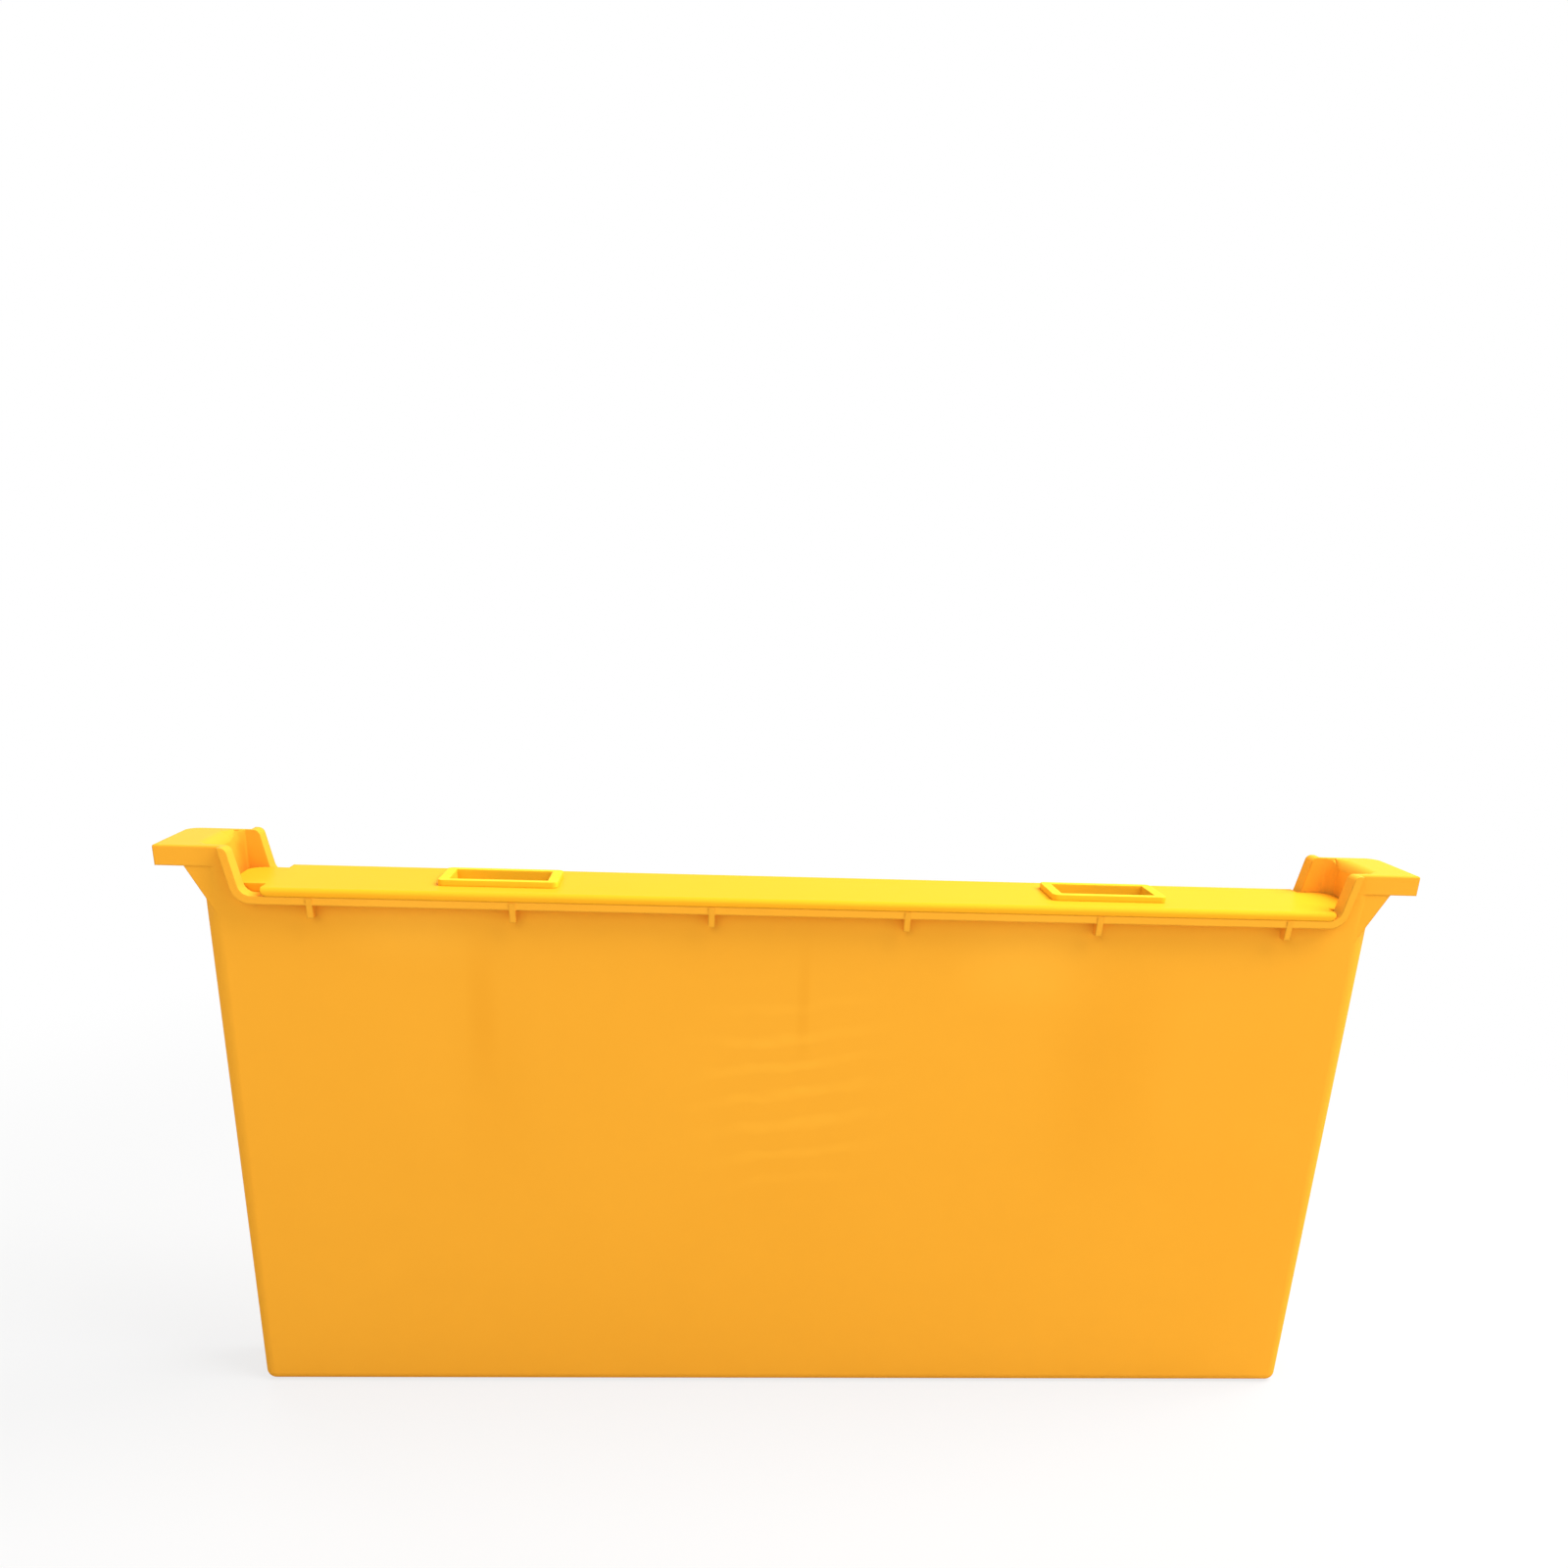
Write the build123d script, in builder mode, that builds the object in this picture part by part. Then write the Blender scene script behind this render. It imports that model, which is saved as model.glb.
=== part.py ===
from build123d import *

import os
from math import radians, sin, tan

# Frame feeder for a hive, in millimetres.
# Origin at the middle of the underside, length along X, front at -Y, Z up.

# trough
overall_height = 232.0
trough_length = 451.8
trough_depth = 36.4
side_wall = 2.6
end_wall = 3.5
floor_thickness = 3.0
draft = 0.75
corner_radius = 7.2
inner_corner = 1.2
base_edge_radius = 4.0
floor_fillet = 1.0

# rim, wings and flange
rim_drop = 17.6
wing_length = 12.5
wing_slope = 12.4
wing_foot_radius = 4.5
wing_tip_radius = 2.5
flange_reach = 4.5
flange_thickness = 3.1
end_rounding = 5.0
end_rounding_flat = 22.0
end_rounding_run_out = 4.2
end_rounding_edge = 0.4

# gussets under the flange
gusset_pitch = 75.0
gusset_count = 6
gusset_shift = 2.7
gusset_width = 2.4
gusset_height = 5.0
gusset_proud = 0.4
gusset_taper = 1.0
gusset_top_gap = 0.5

# lugs
lug_length = 15.1
lug_height = 7.7
lug_skin = 2.8
lug_rear_corner = 5.5
lug_front_corner = 1.5
lug_edge_radius = 0.8
lug_rib_width = 2.5
lug_rib_inset = 0.3
lug_flat = 10.4
lug_brace_drop = 21.0

# lid, which lies a little to the right of the middle
lid_shift = 2.4
lid_height = 3.2
lid_plate = 2.0
lid_skirt = 2.4
lid_edge_radius = 2.0
lid_overhang = 0.1
shoulder_radius = 2.5
left_shoulder_gap = 6.0
right_shoulder_gap = 0.2
tongue_side_gap = 0.7
tongue_end_gap = 0.6
tongue_corner = 6.0
locating_wall = 2.0
locating_depth = 4.0

# ladder cages
port_spacing = 238.0
port_length = 37.4
port_depth = 17.0
cage_wall = 1.5
cage_corner = 1.6
cage_fit = 0.4
cage_floor_gap = 5.0
collar_length = 45.4
collar_depth = 24.0
collar_height = 2.3
collar_corner = 2.2
throat_depth = 10.0
mesh_pitch = 13.2
mesh_bar = 2.4
pin_mark_radius = 1.5
pin_mark_depth = 0.3

# positions that follow from the sizes
half_length = trough_length / 2 + lug_length
rim_height = overall_height - rim_drop
lug_underside = overall_height - lug_height
draft_rise = tan(radians(draft))
base_length = trough_length - 2 * rim_height * draft_rise
base_depth = trough_depth - 2 * rim_height * draft_rise
base_corner = corner_radius - rim_height * draft_rise
inner_lift = floor_thickness * draft_rise
inner_length = base_length - 2 * end_wall + 2 * inner_lift
inner_depth = base_depth - 2 * side_wall + 2 * inner_lift
lug_depth = base_depth + 2 * lug_underside * draft_rise
lug_tip = half_length - lug_height * draft_rise
lug_root = trough_length / 2 - corner_radius - side_wall
rim_inner_depth = trough_depth - 2 * side_wall
rim_inner_length = trough_length - 2 * end_wall
flange_depth = trough_depth + 2 * flange_reach
band_root = (trough_depth - side_wall) / 2
gusset_face = flange_depth / 2 + gusset_proud
gusset_top = rim_height - gusset_top_gap
gusset_foot = rim_height - flange_thickness - gusset_height
wing_top = trough_length / 2 - wing_length
wing_run = tan(radians(wing_slope))
wing_foot = wing_top - rim_drop * wing_run
wing_over = wing_top + rim_drop * wing_run
wing_foot_start = wing_foot - wing_foot_radius * tan(radians((90 - wing_slope) / 2))
lid_top = rim_height + lid_height
lid_depth = flange_depth + 2 * lid_overhang
plate_underside = lid_top - lid_plate
left_shoulder = wing_foot_start + shoulder_radius - left_shoulder_gap
right_shoulder = wing_foot_start + shoulder_radius - right_shoulder_gap
tongue_depth = rim_inner_depth - 2 * tongue_side_gap
tongue_reach = rim_inner_length / 2 - tongue_end_gap - lid_shift
tube_length = port_length + 2 * cage_wall
tube_depth = port_depth + 2 * cage_wall
cage_bottom = floor_thickness + cage_floor_gap
throat_end = lid_top - throat_depth
mesh_hole = mesh_pitch - mesh_bar

# opening between the wings, seen from the front
with BuildSketch(Plane.XZ) as mouth:
    with BuildLine():
        Polyline(
            (-wing_foot, rim_height),
            (wing_foot, rim_height),
            (wing_over, overall_height + rim_drop),
            (-wing_over, overall_height + rim_drop),
            close=True,
        )
    make_face()
    fillet(mouth.vertices().group_by(Axis.Y)[0], radius=wing_foot_radius)

# band that follows the rim and climbs the edge of each wing
with BuildSketch(Plane.XZ) as rim_band:
    add(mouth.sketch)
    offset(amount=flange_thickness, kind=Kind.ARC)
    add(mouth.sketch, mode=Mode.SUBTRACT)
    with Locations((0, overall_height)):
        Rectangle(
            4 * half_length,
            4 * rim_drop,
            align=(Align.CENTER, Align.MIN),
            mode=Mode.SUBTRACT,
        )

with BuildPart() as front_flange:
    with BuildSketch(Plane.XZ.offset(band_root)):
        add(rim_band.sketch)
    extrude(amount=flange_depth / 2 - band_root)

# one hollow lug with its two braces
with BuildPart() as lug:
    with BuildSketch(Plane.XY.offset(lug_underside)) as lug_plan:
        with Locations(((lug_root + lug_tip) / 2, 0)):
            Rectangle(lug_tip - lug_root, lug_depth)
        front_tip, rear_tip = lug_plan.vertices().sort_by(Axis.X)[-2:].sort_by(Axis.Y)
        fillet(rear_tip, radius=lug_rear_corner)
        fillet(front_tip, radius=lug_front_corner)
    extrude(amount=lug_height, taper=-draft)
    with BuildSketch(Plane.XY.offset(lug_underside)):
        with Locations((half_length - lug_skin, 0)):
            Rectangle(lug_length - lug_skin, lug_depth - 2 * lug_skin, align=(Align.MAX, Align.CENTER))
    extrude(amount=lug_height - lug_skin, mode=Mode.SUBTRACT)
    for face_side in (-1, 1):
        rib_start = face_side * (lug_depth - lug_rib_width) / 2 - face_side * lug_rib_inset - lug_rib_width / 2
        with BuildSketch(Plane.XZ.offset(rib_start)):
            with BuildLine():
                Polyline(
                    (lug_root, lug_underside + lug_skin),
                    (half_length - lug_flat, lug_underside + lug_skin),
                    (half_length - lug_flat, lug_underside),
                    (trough_length / 2 - corner_radius, lug_underside - lug_brace_drop),
                    (lug_root, lug_underside - lug_brace_drop),
                    close=True,
                )
            make_face()
        extrude(amount=lug_rib_width)

# inside of the trough
with BuildPart() as cavity:
    with BuildSketch(Plane.XY.offset(floor_thickness)):
        RectangleRounded(inner_length, inner_depth, inner_corner)
    extrude(amount=overall_height, taper=-draft)
    fillet(cavity.faces().sort_by(Axis.Z)[0].edges(), radius=floor_fillet)

# trough with wings, flange, gussets and lugs
with BuildPart() as feeder_box:
    with BuildSketch(Plane.XY):
        RectangleRounded(base_length, base_depth, base_corner)
    extrude(amount=overall_height, taper=-draft)
    fillet(feeder_box.faces().sort_by(Axis.Z)[0].edges(), radius=base_edge_radius)
    add(lug.part)
    mirror(lug.part, about=Plane.YZ)
    fillet(feeder_box.faces().sort_by(Axis.Z)[-1].edges(), radius=lug_edge_radius)
    add(cavity.part, mode=Mode.SUBTRACT)
    extrude(mouth.sketch, amount=trough_depth, both=True, mode=Mode.SUBTRACT)
    add(front_flange.part)
    mirror(front_flange.part, about=Plane.XZ)
    wing_tips = [
        edge
        for edge in feeder_box.edges().filter_by(Axis.Y).group_by(Axis.Z)[-1]
        if abs(abs(edge.center().X) - wing_top) < 0.01
    ]
    fillet(wing_tips, radius=wing_tip_radius)
    for side in (-1, 1):
        for place in range(gusset_count):
            gusset_start = (place - (gusset_count - 1) / 2) * gusset_pitch + gusset_shift - gusset_width / 2
            with BuildSketch(Plane.YZ.offset(gusset_start)):
                with BuildLine():
                    Polyline(
                        (side * band_root, gusset_top),
                        (side * gusset_face, gusset_top),
                        (side * (gusset_face - gusset_taper), gusset_foot),
                        (side * band_root, gusset_foot),
                        close=True,
                    )
                make_face()
            extrude(amount=gusset_width)
    for side in (-1, 1):
        inner_face = rim_inner_length / 2
        flat_half = end_rounding_flat / 2
        fade = flat_half + end_rounding_run_out
        for place, size in (
            (-fade, end_rounding_edge),
            (-flat_half, end_rounding),
            (flat_half, end_rounding),
            (fade, end_rounding_edge),
        ):
            with BuildSketch(Plane.XZ.offset(place)):
                with BuildLine():
                    Polyline(
                        (side * inner_face, overall_height - size),
                        (side * (inner_face - corner_radius), overall_height - size),
                        (side * (inner_face - corner_radius), overall_height + 1),
                        (side * (inner_face + size), overall_height + 1),
                        (side * (inner_face + size), overall_height),
                    )
                    ThreePointArc(
                        (side * (inner_face + size), overall_height),
                        (
                            side * (inner_face + size * (1 - sin(radians(45)))),
                            overall_height - size * (1 - sin(radians(45))),
                        ),
                        (side * inner_face, overall_height - size),
                    )
                make_face()
        loft(ruled=True, mode=Mode.SUBTRACT)

feeder_box.part.label = "feeder_box"

# lid with skirts, a locating wall, end tongues and two ports
with BuildPart() as lid:
    with BuildSketch(Plane.YZ) as lid_section:
        with Locations((0, rim_height)):
            Rectangle(lid_depth, lid_height, align=(Align.CENTER, Align.MIN))
        fillet(lid_section.vertices().group_by(Axis.Y)[-1], radius=lid_edge_radius)
        with Locations((0, rim_height)):
            Rectangle(
                lid_depth - 2 * lid_skirt,
                lid_height - lid_plate,
                align=(Align.CENTER, Align.MIN),
                mode=Mode.SUBTRACT,
            )
    extrude(amount=half_length, both=True)
    with BuildSketch(Plane.XZ) as shoulders:
        with Locations((-left_shoulder, rim_height)):
            Rectangle(left_shoulder + right_shoulder, 2 * lid_height, align=(Align.MIN, Align.MIN))
        fillet(shoulders.vertices().group_by(Axis.Y)[0], radius=shoulder_radius)
    extrude(amount=lid_depth, both=True, mode=Mode.INTERSECT)
    with BuildSketch(Plane.XY.offset(rim_height - locating_depth)):
        with Locations((lid_shift, 0)):
            RectangleRounded(2 * tongue_reach, tongue_depth, tongue_corner)
            RectangleRounded(
                2 * tongue_reach - 2 * locating_wall,
                tongue_depth - 2 * locating_wall,
                tongue_corner - locating_wall,
                mode=Mode.SUBTRACT,
            )
    extrude(amount=locating_depth + lid_height)
    with BuildSketch(Plane.XY.offset(plate_underside)):
        with Locations((lid_shift, 0)):
            RectangleRounded(2 * tongue_reach, tongue_depth, tongue_corner)
    extrude(amount=lid_plate)
    with BuildSketch(Plane.XY.offset(rim_height)):
        with Locations((lid_shift - port_spacing / 2, 0), (lid_shift + port_spacing / 2, 0)):
            RectangleRounded(
                tube_length + 2 * cage_fit,
                tube_depth + 2 * cage_fit,
                cage_corner + cage_fit,
            )
    extrude(amount=2 * lid_height, mode=Mode.SUBTRACT)

lid.part.label = "lid"

os.makedirs("parts", exist_ok=True)
export_step(feeder_box.part, "parts/feeder_box.step")
export_step(lid.part, "parts/lid.step")

# ladder cages, each moulded as a front and a back half
mesh_columns = int((port_length + mesh_bar) // mesh_pitch)
mesh_rows = int((throat_end - cage_bottom - mesh_bar) // mesh_pitch)
mesh_middle = (throat_end + cage_bottom) / 2
side_hole = port_depth / 2 - mesh_bar
for cage_name, end_side, face_side in (
    ("left_cage_front", -1, -1),
    ("left_cage_back", -1, 1),
    ("right_cage_front", 1, -1),
    ("right_cage_back", 1, 1),
):
    cage_place = lid_shift + end_side * port_spacing / 2
    with BuildPart() as cage_half:
        with BuildSketch(Plane.XY.offset(lid_top)):
            with Locations((cage_place, 0)):
                RectangleRounded(collar_length, collar_depth, collar_corner)
        extrude(amount=collar_height)
        with BuildSketch(Plane.XY.offset(cage_bottom)):
            with Locations((cage_place, 0)):
                RectangleRounded(tube_length, tube_depth, cage_corner)
        extrude(amount=lid_top - cage_bottom)
        with BuildSketch(Plane.XY.offset(cage_bottom + cage_wall)):
            with Locations((cage_place, 0)):
                Rectangle(port_length, port_depth)
        extrude(amount=overall_height, mode=Mode.SUBTRACT)
        with BuildSketch(Plane.XY):
            with Locations((cage_place, -face_side * collar_depth / 2)):
                Rectangle(2 * collar_length, collar_depth)
        extrude(amount=2 * overall_height, mode=Mode.SUBTRACT)
        with BuildSketch(Plane.XZ.offset(-face_side * tube_depth / 2)):
            with Locations((cage_place, mesh_middle)):
                with GridLocations(mesh_pitch, mesh_pitch, mesh_columns, mesh_rows):
                    Rectangle(mesh_hole, mesh_hole)
        extrude(amount=2 * cage_wall, both=True, mode=Mode.SUBTRACT)
        with BuildSketch(Plane.YZ.offset(cage_place)):
            with Locations((face_side * port_depth / 4, mesh_middle)):
                with GridLocations(mesh_pitch, mesh_pitch, 1, mesh_rows):
                    Rectangle(side_hole, mesh_hole)
        extrude(amount=tube_length, both=True, mode=Mode.SUBTRACT)
        with BuildSketch(Plane.XY.offset(cage_bottom)):
            with Locations((cage_place, face_side * port_depth / 4)):
                with GridLocations(mesh_pitch, mesh_pitch, mesh_columns, 1):
                    Rectangle(mesh_hole, side_hole)
        extrude(amount=2 * cage_wall, both=True, mode=Mode.SUBTRACT)
        with BuildSketch(Plane.XZ.offset(-face_side * port_depth / 2)):
            with Locations((cage_place, lid_top - throat_depth / 2)):
                Circle(pin_mark_radius)
        extrude(amount=-face_side * pin_mark_depth, mode=Mode.SUBTRACT)
    cage_half.part.label = cage_name
    export_step(cage_half.part, "parts/" + cage_name + ".step")
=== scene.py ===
import math

import bmesh
import bpy
from mathutils import Matrix, Vector


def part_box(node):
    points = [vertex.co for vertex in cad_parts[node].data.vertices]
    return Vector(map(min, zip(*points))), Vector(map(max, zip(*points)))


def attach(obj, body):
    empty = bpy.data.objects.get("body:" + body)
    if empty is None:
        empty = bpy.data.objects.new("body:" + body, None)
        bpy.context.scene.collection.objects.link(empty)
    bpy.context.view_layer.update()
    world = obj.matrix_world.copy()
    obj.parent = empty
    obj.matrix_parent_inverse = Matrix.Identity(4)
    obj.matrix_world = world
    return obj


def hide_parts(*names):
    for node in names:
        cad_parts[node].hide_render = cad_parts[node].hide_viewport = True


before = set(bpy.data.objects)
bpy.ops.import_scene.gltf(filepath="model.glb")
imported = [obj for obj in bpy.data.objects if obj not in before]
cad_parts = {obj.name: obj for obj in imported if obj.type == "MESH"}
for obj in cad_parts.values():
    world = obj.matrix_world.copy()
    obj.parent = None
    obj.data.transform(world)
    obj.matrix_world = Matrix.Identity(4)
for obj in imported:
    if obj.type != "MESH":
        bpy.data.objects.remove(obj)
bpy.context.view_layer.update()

MM = 0.001

# Ladder cages: the open mesh below the solid throat, in millimetres.
MESH_PITCH = 3.3
MESH_BAR = 1.0
CAGE_WALL = 1.5
SEAM_RIM = 1.3
THROAT_DEPTH = 10.0
COLLAR_HEIGHT = 2.3

# Small offsets that keep the faces of crossing bars out of one plane, in millimetres.
CROSS_BAR_SET_BACK = 0.12
CROSS_BAR_END_GAP = 0.2
SEAM_GAP = 0.1
SIDE_BAR_THINNING = 0.05
FLOOR_BAR_LIFT = 0.02
FLOOR_BAR_LOWERING = 0.1

# The CAD throat is cut a little above its end, and the bars reach a little past the cut, in millimetres.
CUT_ABOVE_END = 0.5
BARS_ABOVE_END = 0.6
TUBE_ABOVE_END = 1.0
WELD = 0.001

# Camera, worked out from the lugs, the lid's edges and the corners of the trough.
IMAGE_SIDE = 1600
SENSOR = 36.0
FOCAL_PIXELS = 1339.4
PRINCIPAL_X = 797.0
PRINCIPAL_Y = 1085.8
CAMERA_YAW = 0.0639
CAMERA_PITCH = 0.3475
CAMERA_ROLL = 0.038
CAMERA_DISTANCE = 0.5446
CAMERA_TARGET = Vector((-0.0048, 0.0, 0.1433))
CLIP_START = 0.01

# Plastic: the darker and paler ends of each piece's tone, and how far slow clouding moves between them.
PLASTIC_TONES = {
    "trough_plastic": ((0.82, 0.345, 0.023), (0.91, 0.415, 0.035)),
    "lid_plastic": ((0.82, 0.345, 0.013), (0.91, 0.415, 0.019)),
    "cage_plastic": ((0.90, 0.46, 0.018), (0.96, 0.54, 0.026)),
}
MIDDLE_TONE = 0.5
CLOUDING = 0.3
CLOUD_SCALE = 14.0
CLOUD_DETAIL = 3.0
ROUGHNESS = 0.34
REFRACTION = 1.2
SPECULAR = 0.02
EDGE_ROUNDING = 0.8 * MM
EDGE_SAMPLES = 6
WAVE_SCALE = 22.0
WAVE_DETAIL = 1.0
WAVE_STRENGTH = 0.25
WAVE_HEIGHT = 1.2 * MM

# Ripples where the plastic was fed in at the middle of the wall, in metres.
RIPPLE_MIDDLE = (-0.002, 0.138)
RIPPLE_REACH = (0.05, 0.058)
RIPPLE_PITCH = 0.0128
RIPPLE_LEAN = 0.12
RIPPLE_STRENGTH = 0.68
WANDER_SCALE = 30.0
WANDER_DETAIL = 2.0
WANDER_TURN = 7.0
BREAK_SCALE = 90.0
BREAK_DETAIL = 1.0

# Soft patches on the wall, dark or pale, the dark ones in front of the cages being painted shadow of the
# cages seen through the wall: middle and half size along and up in metres, then the change of tone.
WALL_MARKS_AND_CAGE_SHADOWS = (
    # The first three are painted shadow: darker patches where the cages stand behind the wall.
    (-0.1235, 0.008, 0.170, 0.040, -0.26),
    (-0.1200, 0.022, 0.140, 0.070, -0.16),
    (0.1260, 0.034, 0.148, 0.068, -0.30),
    (0.0020, 0.004, 0.176, 0.034, -0.30),
    (-0.1500, 0.036, 0.204, 0.022, 0.38),
    (0.0880, 0.036, 0.196, 0.028, 0.45),
)
MARK_CORE = 0.1

# Light and floor.
WHITE = (1.0, 1.0, 1.0, 1.0)
WORLD_STRENGTH = 0.42
WORLD_SEEN = 1.0
LAMP_AIM = Vector((0.0, 0.0, 0.12))
LAMPS = {
    "key_lamp": {"place": (1.0, -0.1, 1.6), "size": 1.4, "watts": 63.0},
    "side_lamp": {"place": (1.15, -0.75, 0.3), "size": 0.8, "watts": 2.5},
    "fill_lamp": {"place": (-0.8, -1.4, 1.1), "size": 1.2, "watts": 10.0},
    "back_lamp": {"place": (-0.9, 1.3, 1.2), "size": 0.8, "watts": 8.0},
}
FLOOR_SIDE = 12.0
FLOOR_DROP = 0.0002
FLOOR_COLOUR = (0.5, 0.5, 0.5)
FLOOR_ROUGHNESS = 0.9
FLOOR_GLOW = 1.0
FLOOR_WHITENING = 0.75
FLOOR_NEAR = 0.35
FLOOR_FAR = 0.75


def link(tree, source, target):
    tree.links.new(source, target)


def calc(tree, operation, first, second=None):
    """One sum in a node tree; each side is a socket or a plain number."""
    node = tree.nodes.new("ShaderNodeMath")
    node.operation = operation
    for slot, value in zip(node.inputs, (first, second)):
        if isinstance(value, (int, float)):
            slot.default_value = value
        elif value is not None:
            link(tree, value, slot)
    return node.outputs["Value"]


def near(tree, value, middle, reach):
    """1 at the middle, fading to 0 at the reach on either side."""
    node = tree.nodes.new("ShaderNodeMapRange")
    node.interpolation_type = "SMOOTHSTEP"
    node.inputs["From Min"].default_value = reach
    node.inputs["From Max"].default_value = MARK_CORE * reach
    away = calc(tree, "ABSOLUTE", calc(tree, "SUBTRACT", value, middle))
    link(tree, away, node.inputs["Value"])
    return node.outputs["Result"]


def patch(tree, along, up, middle, reach):
    """1 at a point of the wall, fading to 0 at the reach along and up from it."""
    beside = near(tree, along, middle[0], reach[0])
    within = near(tree, up, middle[1], reach[1])
    return calc(tree, "MULTIPLY", beside, within)


def noise(tree, place, scale, detail):
    node = tree.nodes.new("ShaderNodeTexNoise")
    node.inputs["Scale"].default_value = scale
    node.inputs["Detail"].default_value = detail
    link(tree, place, node.inputs["Vector"])
    return node.outputs["Fac"]


def ripples_marks_and_cage_shadows(tree, place, tone):
    """Adds the ripples, the soft patches and the painted shadows of the cages seen through the moulded wall
    to a tone.
    """
    parts = tree.nodes.new("ShaderNodeSeparateXYZ")
    link(tree, place, parts.inputs["Vector"])
    along, up = parts.outputs["X"], parts.outputs["Z"]
    slope = calc(tree, "SUBTRACT", up, calc(tree, "MULTIPLY", along, RIPPLE_LEAN))
    turns = calc(tree, "MULTIPLY", slope, 2 * math.pi / RIPPLE_PITCH)
    wander = calc(tree, "MULTIPLY", noise(tree, place, WANDER_SCALE, WANDER_DETAIL), WANDER_TURN)
    waves = calc(tree, "SINE", calc(tree, "ADD", turns, wander))
    crests = calc(tree, "MAXIMUM", waves, 0.0)
    broken = calc(tree, "MULTIPLY", crests, noise(tree, place, BREAK_SCALE, BREAK_DETAIL))
    ripples = calc(tree, "MULTIPLY", broken, patch(tree, along, up, RIPPLE_MIDDLE, RIPPLE_REACH))
    tone = calc(tree, "ADD", tone, calc(tree, "MULTIPLY", ripples, RIPPLE_STRENGTH))
    # Tone patches, dark and pale; the dark ones at the cages are painted shadow.
    for x, half_length, z, half_height, change in WALL_MARKS_AND_CAGE_SHADOWS:
        tone_patch = patch(tree, along, up, (x, z), (half_length, half_height))
        tone = calc(tree, "ADD", tone, calc(tree, "MULTIPLY", tone_patch, change))
    return tone


def plastic(slot, with_marks_and_cage_shadows=False):
    """Moulded plastic with clouded tone and slow waves in its surface, and flow ripples, tone patches and
    painted cage shadows where asked for.
    """
    deep, pale = PLASTIC_TONES[slot]
    material = bpy.data.materials.new(slot + "_look")
    material.use_nodes = True
    tree = material.node_tree
    shader = tree.nodes["Principled BSDF"]
    shader.inputs["Roughness"].default_value = ROUGHNESS
    shader.inputs["IOR"].default_value = REFRACTION
    shader.inputs["Specular IOR Level"].default_value = SPECULAR
    place = tree.nodes.new("ShaderNodeTexCoord")
    spot = place.outputs["Object"]
    cloud = calc(tree, "SUBTRACT", noise(tree, spot, CLOUD_SCALE, CLOUD_DETAIL), MIDDLE_TONE)
    shade = calc(tree, "ADD", calc(tree, "MULTIPLY", cloud, CLOUDING), MIDDLE_TONE)
    if with_marks_and_cage_shadows:
        shade = ripples_marks_and_cage_shadows(tree, spot, shade)
    tone = tree.nodes.new("ShaderNodeMix")
    tone.data_type = "RGBA"
    tone.inputs["A"].default_value = (*deep, 1.0)
    tone.inputs["B"].default_value = (*pale, 1.0)
    link(tree, shade, tone.inputs["Factor"])
    link(tree, tone.outputs["Result"], shader.inputs["Base Color"])
    edge = tree.nodes.new("ShaderNodeBevel")
    edge.samples = EDGE_SAMPLES
    edge.inputs["Radius"].default_value = EDGE_ROUNDING
    bump = tree.nodes.new("ShaderNodeBump")
    bump.inputs["Strength"].default_value = WAVE_STRENGTH
    bump.inputs["Distance"].default_value = WAVE_HEIGHT
    link(tree, noise(tree, spot, WAVE_SCALE, WAVE_DETAIL), bump.inputs["Height"])
    link(tree, edge.outputs["Normal"], bump.inputs["Normal"])
    link(tree, bump.outputs["Normal"], shader.inputs["Normal"])
    return material


def paint(obj, material):
    obj.data.materials.clear()
    obj.data.materials.append(material)


def add_bar(mesh, low, high):
    """One square bar between two corners given in millimetres."""
    low, high = Vector(low) * MM, Vector(high) * MM
    size = high - low
    middle = (low + high) / 2
    place = Matrix.Translation(middle) @ Matrix.Diagonal((*size, 1.0))
    bmesh.ops.create_cube(mesh, size=1.0, matrix=place)


def steps(low, high, pitch):
    """Evenly spaced middles from low to high, as near to the pitch as fits."""
    count = max(1, round((high - low) / pitch))
    return [low + (high - low) * k / count for k in range(count + 1)]


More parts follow.
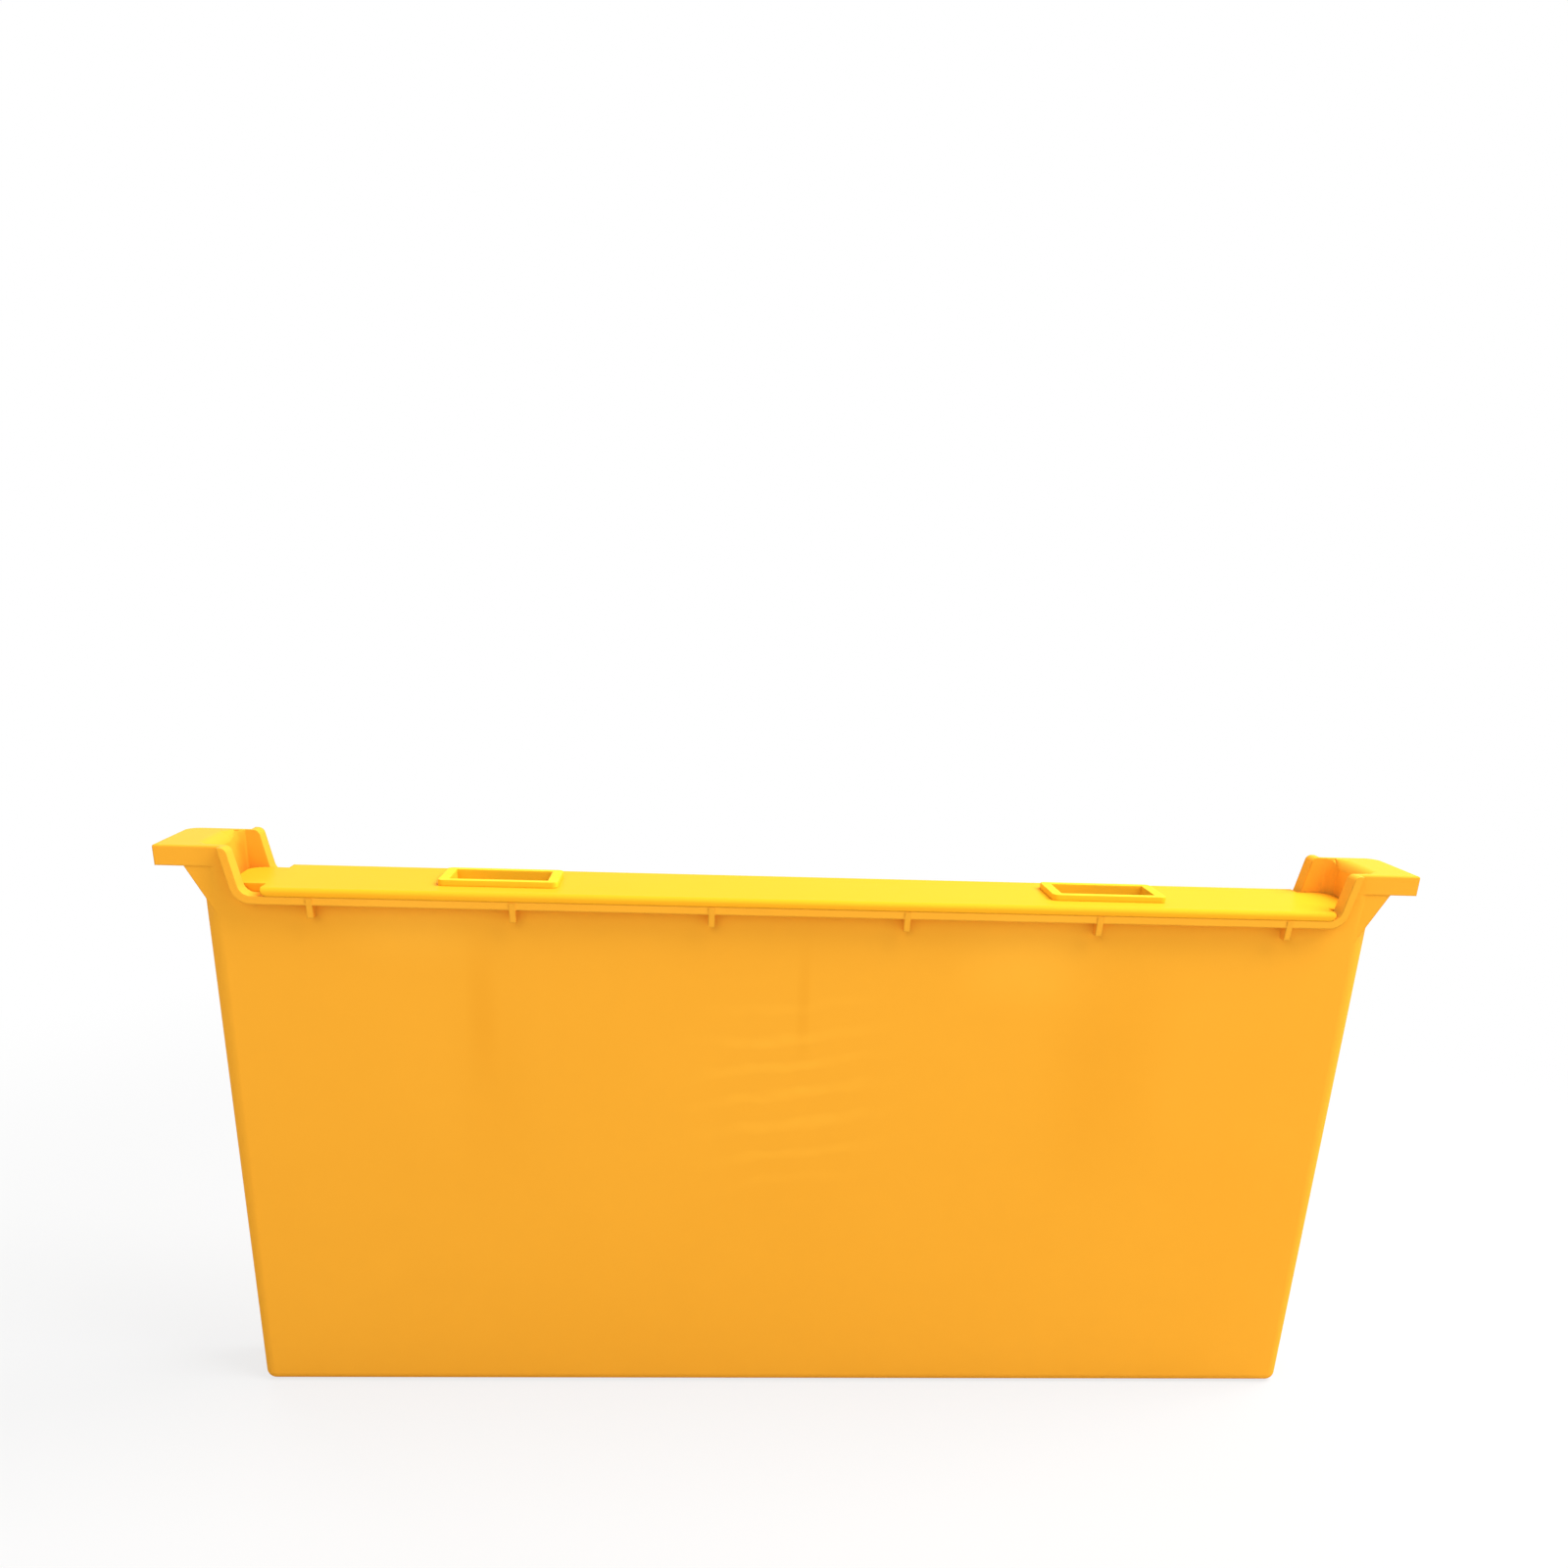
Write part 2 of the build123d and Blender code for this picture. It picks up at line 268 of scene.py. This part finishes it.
def cage_half(node, body, face_side):
    """The collar and throat of the CAD half with a fine open mesh below them."""
    low, high = (corner / MM for corner in map(Vector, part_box(node)))
    throat_end = high.z - COLLAR_HEIGHT - THROAT_DEPTH
    mesh = bmesh.new()
    mesh.from_mesh(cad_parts[node].data)
    bmesh.ops.remove_doubles(mesh, verts=mesh.verts, dist=WELD * MM)
    bmesh.ops.bisect_plane(
        mesh,
        geom=mesh.verts[:] + mesh.edges[:] + mesh.faces[:],
        plane_co=(0, 0, (throat_end + CUT_ABOVE_END) * MM),
        plane_no=(0, 0, 1),
        clear_inner=True,
    )
    bmesh.ops.holes_fill(mesh, edges=[e for e in mesh.edges if e.is_boundary])
    tube = [v.co / MM for v in mesh.verts if v.co.z / MM < throat_end + TUBE_ABOVE_END]
    left, right = min(v.x for v in tube), max(v.x for v in tube)
    bottom, top = low.z, throat_end + BARS_ABOVE_END
    outer = max(abs(v.y) for v in tube)
    inner = outer - CAGE_WALL
    half = MESH_BAR / 2

    def box(x0, x1, y0, y1, z0, z1):
        """One bar; y runs outwards from the seam between the two halves."""
        near_y, far_y = sorted((face_side * y0, face_side * y1))
        add_bar(mesh, (x0, near_y, z0), (x1, far_y, z1))

    columns = steps(left + CAGE_WALL, right - CAGE_WALL, MESH_PITCH)[1:-1]
    rows = steps(bottom + half, top - half, MESH_PITCH)
    ribs = steps(SEAM_RIM, inner, MESH_PITCH)[1:-1]
    row_left, row_right = left + CROSS_BAR_END_GAP, right - CROSS_BAR_END_GAP
    side_end = outer - 2 * CROSS_BAR_SET_BACK
    thin = half - SIDE_BAR_THINNING

    # Corner posts and the rims along the seam.
    for x in (left, right - CAGE_WALL):
        box(x, x + CAGE_WALL, inner, outer, bottom, top)
        box(x, x + CAGE_WALL, 0, SEAM_RIM, bottom, top)
    # The long face.
    for x in columns:
        box(x - half, x + half, inner, outer, bottom, top)
    for z in rows:
        box(row_left, row_right, inner + CROSS_BAR_SET_BACK, outer - CROSS_BAR_SET_BACK, z - half, z + half)
    # The two short sides.
    for x in (left, right - CAGE_WALL):
        for y in ribs:
            box(x, x + CAGE_WALL, y - half, y + half, bottom, top)
        side_left, side_right = x + CROSS_BAR_SET_BACK, x + CAGE_WALL - CROSS_BAR_SET_BACK
        for z in rows:
            box(side_left, side_right, SEAM_GAP, side_end, z - thin, z + thin)
    # The bottom.
    for x in columns:
        box(x - thin, x + thin, SEAM_GAP, side_end, bottom + FLOOR_BAR_LIFT, bottom + CAGE_WALL)
    for y in [SEAM_RIM / 2] + ribs:
        box(row_left, row_right, y - half, y + half, bottom, bottom + CAGE_WALL - FLOOR_BAR_LOWERING)

    data = bpy.data.meshes.new(node + "_fine")
    mesh.to_mesh(data)
    mesh.free()
    obj = bpy.data.objects.new(node + "_fine", data)
    bpy.context.scene.collection.objects.link(obj)
    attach(obj, body)
    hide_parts(node)
    return obj


def seen_rays(tree):
    """1 for the rays that show a surface to the camera, straight, mirrored or through glass."""
    rays = tree.nodes.new("ShaderNodeLightPath")
    shown = calc(tree, "MAXIMUM", rays.outputs["Is Camera Ray"], rays.outputs["Is Glossy Ray"])
    return calc(tree, "MAXIMUM", shown, rays.outputs["Is Transmission Ray"])


def floor():
    """Pale floor that turns plain white in the distance."""
    bpy.ops.mesh.primitive_plane_add(size=FLOOR_SIDE, location=(0, 0, -FLOOR_DROP))
    plane = bpy.context.object
    plane.name = "floor"
    look = bpy.data.materials.new("floor_look")
    look.use_nodes = True
    tree = look.node_tree
    surface = tree.nodes["Principled BSDF"]
    surface.inputs["Base Color"].default_value = (*FLOOR_COLOUR, 1.0)
    surface.inputs["Roughness"].default_value = FLOOR_ROUGHNESS
    surface.inputs["Specular IOR Level"].default_value = 0.0
    glow = tree.nodes.new("ShaderNodeEmission")
    glow.inputs["Color"].default_value = WHITE
    glow.inputs["Strength"].default_value = FLOOR_GLOW
    place = tree.nodes.new("ShaderNodeTexCoord")
    reach = tree.nodes.new("ShaderNodeVectorMath")
    reach.operation = "LENGTH"
    link(tree, place.outputs["Object"], reach.inputs[0])
    fade = tree.nodes.new("ShaderNodeMapRange")
    fade.interpolation_type = "SMOOTHSTEP"
    fade.inputs["From Min"].default_value = FLOOR_NEAR
    fade.inputs["From Max"].default_value = FLOOR_FAR
    link(tree, reach.outputs["Value"], fade.inputs["Value"])
    link(tree, calc(tree, "MULTIPLY", seen_rays(tree), FLOOR_WHITENING), fade.inputs["To Min"])
    blend = tree.nodes.new("ShaderNodeMixShader")
    link(tree, fade.outputs["Result"], blend.inputs["Fac"])
    link(tree, surface.outputs["BSDF"], blend.inputs[1])
    link(tree, glow.outputs["Emission"], blend.inputs[2])
    link(tree, blend.outputs["Shader"], tree.nodes["Material Output"].inputs["Surface"])
    paint(plane, look)


def light():
    """Dim white surroundings, seen as plain white, and soft lamps."""
    world = bpy.data.worlds.new("studio")
    bpy.context.scene.world = world
    world.use_nodes = True
    tree = world.node_tree
    background = tree.nodes["Background"]
    background.inputs["Color"].default_value = WHITE
    level = tree.nodes.new("ShaderNodeMapRange")
    level.inputs["To Min"].default_value = WORLD_STRENGTH
    level.inputs["To Max"].default_value = WORLD_SEEN
    link(tree, seen_rays(tree), level.inputs["Value"])
    link(tree, level.outputs["Result"], background.inputs["Strength"])

    for name, values in LAMPS.items():
        lamp = bpy.data.lights.new(name, "AREA")
        lamp.shape = "SQUARE"
        lamp.size = values["size"]
        lamp.energy = values["watts"]
        stand = bpy.data.objects.new(name, lamp)
        stand.location = values["place"]
        aim = LAMP_AIM - stand.location
        stand.rotation_euler = aim.to_track_quat("-Z", "Y").to_euler()
        bpy.context.scene.collection.objects.link(stand)


def camera():
    """The photograph's viewpoint, with the frame shifted up as in the photograph."""
    forward = Vector((
        math.sin(CAMERA_YAW) * math.cos(CAMERA_PITCH),
        math.cos(CAMERA_YAW) * math.cos(CAMERA_PITCH),
        -math.sin(CAMERA_PITCH),
    ))
    level_right = Vector((math.cos(CAMERA_YAW), -math.sin(CAMERA_YAW), 0.0))
    level_up = level_right.cross(forward)
    right = math.cos(CAMERA_ROLL) * level_right + math.sin(CAMERA_ROLL) * level_up
    up = -math.sin(CAMERA_ROLL) * level_right + math.cos(CAMERA_ROLL) * level_up
    data = bpy.data.cameras.new("photo_camera")
    data.sensor_width = SENSOR
    data.lens = FOCAL_PIXELS / IMAGE_SIDE * SENSOR
    data.shift_x = 0.5 - PRINCIPAL_X / IMAGE_SIDE
    data.shift_y = PRINCIPAL_Y / IMAGE_SIDE - 0.5
    data.clip_start = CLIP_START
    obj = bpy.data.objects.new("photo_camera", data)
    axes = Matrix((right, up, -forward)).transposed().to_4x4()
    obj.matrix_world = Matrix.Translation(CAMERA_TARGET - forward * CAMERA_DISTANCE) @ axes
    bpy.context.scene.collection.objects.link(obj)
    bpy.context.scene.camera = obj


# The trough's tone carries the ripples, the tone patches and the painted shadows of the cages.
trough_plastic = plastic("trough_plastic", with_marks_and_cage_shadows=True)
lid_plastic = plastic("lid_plastic")
cage_plastic = plastic("cage_plastic")
paint(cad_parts["feeder_box"], trough_plastic)
paint(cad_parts["lid"], lid_plastic)
for end in ("left", "right"):
    for face, face_side in (("front", -1), ("back", 1)):
        fine = cage_half(f"{end}_cage_{face}", f"{end}_ladder", face_side)
        paint(fine, cage_plastic)

floor()
light()
camera()
bpy.context.scene.view_settings.view_transform = "Standard"
